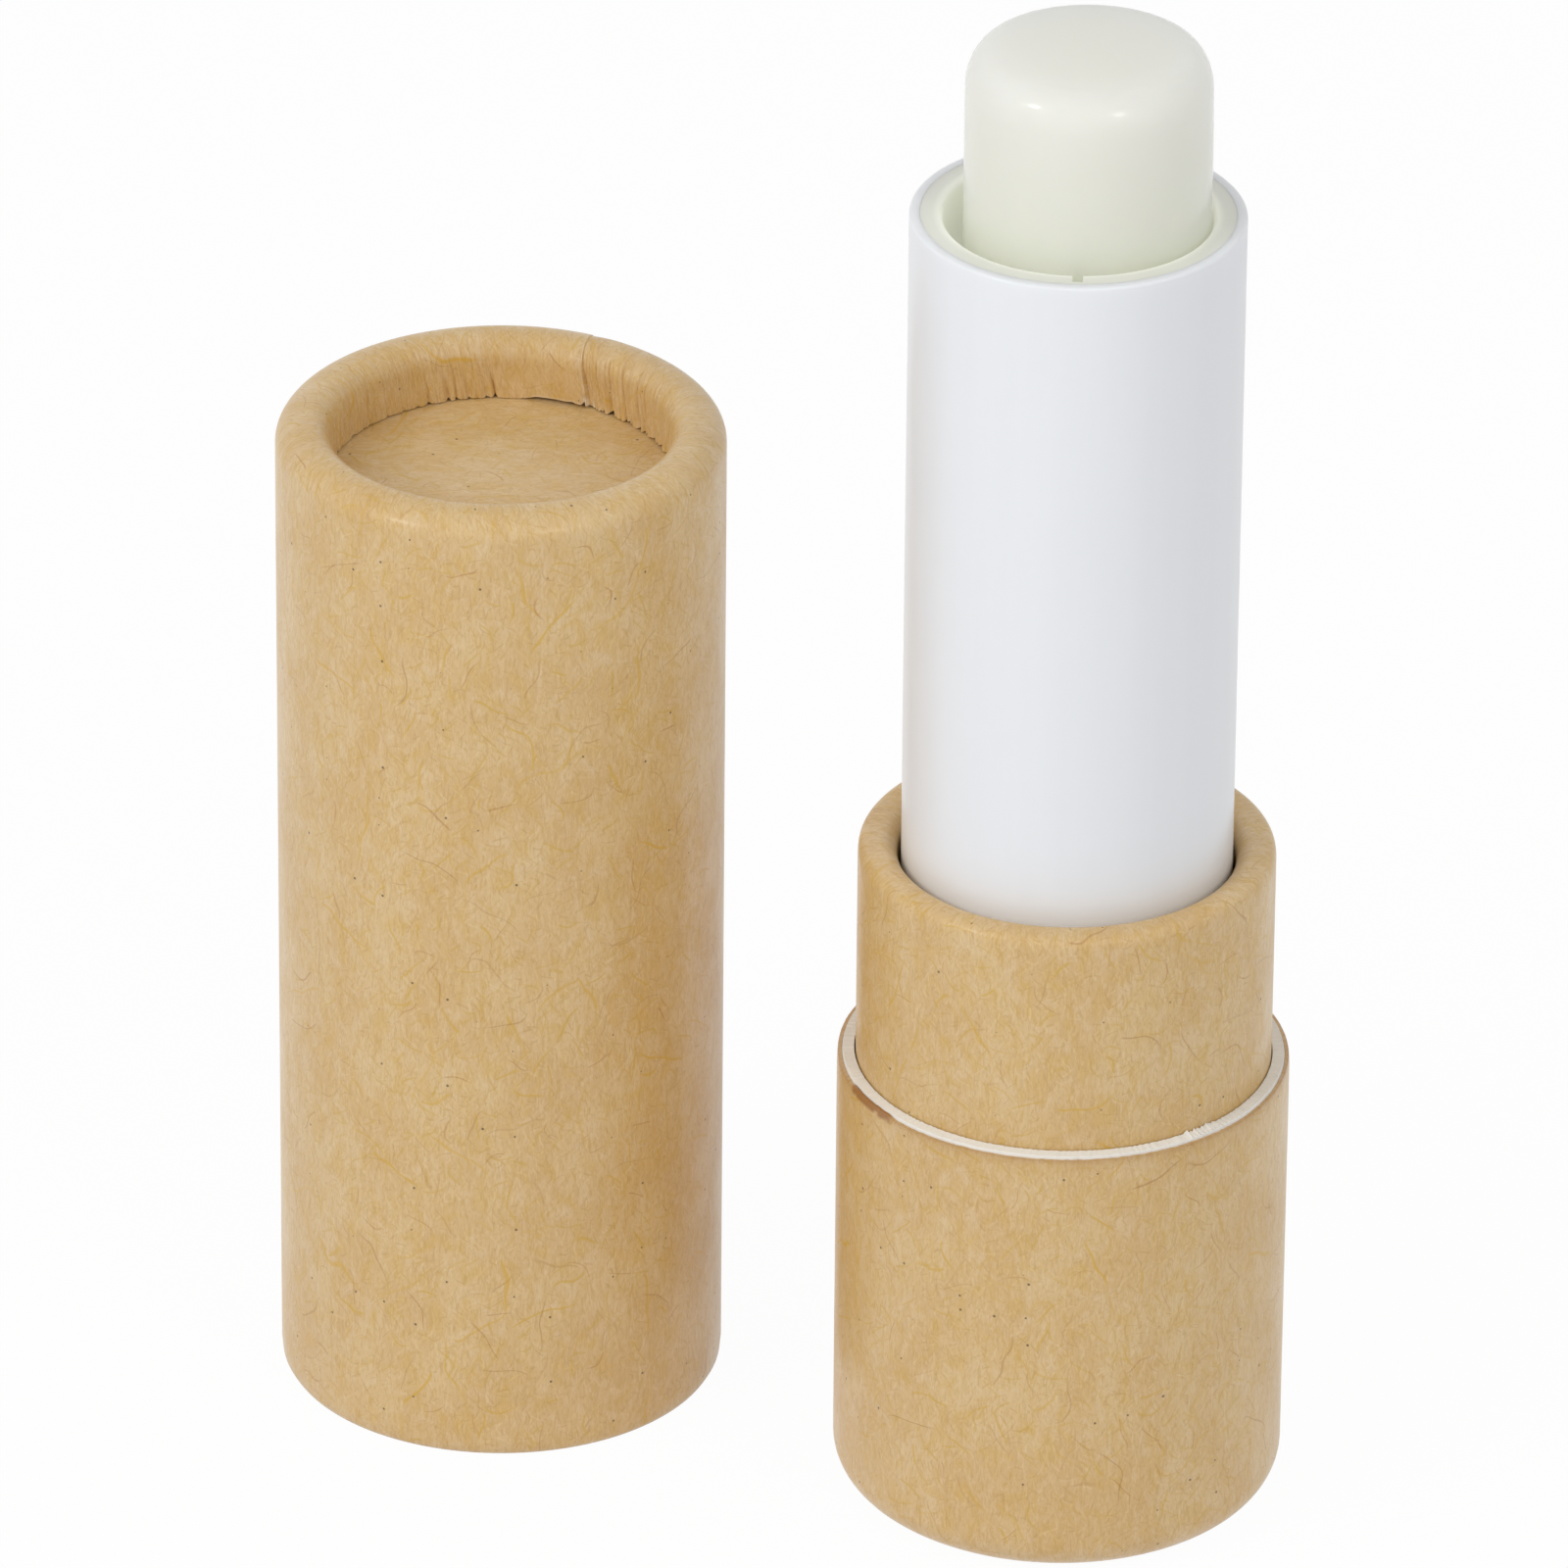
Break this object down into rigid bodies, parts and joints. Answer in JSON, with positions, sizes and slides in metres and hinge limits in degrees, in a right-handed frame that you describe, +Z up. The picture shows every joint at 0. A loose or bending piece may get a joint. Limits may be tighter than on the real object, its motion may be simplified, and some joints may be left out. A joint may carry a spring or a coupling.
{
  "type": "lip balm stick",
  "caption": "Twist-up lip balm stick: kraft paper base, neck and pull-off cap, white plastic barrel with a screw-driven carriage, balm wound part of the way out.",
  "frame": {"origin": "centre of the foot ring of the base, on the stick's own axis, at the surface it stands on", "axes": "+Z up along the stick, the removed cap stands towards -X, +Y towards the back"},
  "size_m": [0.0516, 0.022, 0.0773],
  "materials": {
    "kraft_paper": "calendered kraft paper, slightly satin, with visible fibres",
    "white_board": "uncoated white board",
    "white_plastic": "white polypropylene, glossy",
    "natural_plastic": "natural polypropylene, milky",
    "mechanism_plastic": "white polypropylene, satin",
    "balm": "waxy balm, slightly translucent"
  },
  "bodies": {
    "base": {"base_wrap": "kraft_paper", "base_tube": "white_board", "base_disc_face": "kraft_paper", "base_disc_board": "white_board", "neck_wrap": "kraft_paper", "neck_tube": "white_board", "base_insert": "mechanism_plastic", "drive_wheel": "mechanism_plastic", "lead_screw": "mechanism_plastic"},
    "barrel": {"barrel": "white_plastic", "guide_sleeve": "natural_plastic"},
    "carriage": {"carriage": "mechanism_plastic", "balm": "balm"},
    "cap": {"cap_wrap": "kraft_paper", "cap_tube": "white_board", "cap_disc_face": "kraft_paper", "cap_disc_board": "white_board"}
  },
  "joints": [
    {"name": "barrel_twist", "type": "hinge", "parent": "base", "child": "barrel", "pos_m": [0, 0, 0.0097], "axis": [0, 0, -1], "range_deg": [-900, 2520]},
    {"name": "balm_rise", "type": "slide", "parent": "barrel", "child": "carriage", "axis": [0, 0, 1], "range_m": [-0.01, 0.028]},
    {"name": "cap_lift", "type": "slide", "parent": "base", "child": "cap", "axis": [0, 0, 1], "range_m": [0, 0.08]}
  ],
  "couplings": [
    {"joint": "balm_rise", "follows": "barrel_twist", "m_per_rad": 0.00063661}
  ]
}
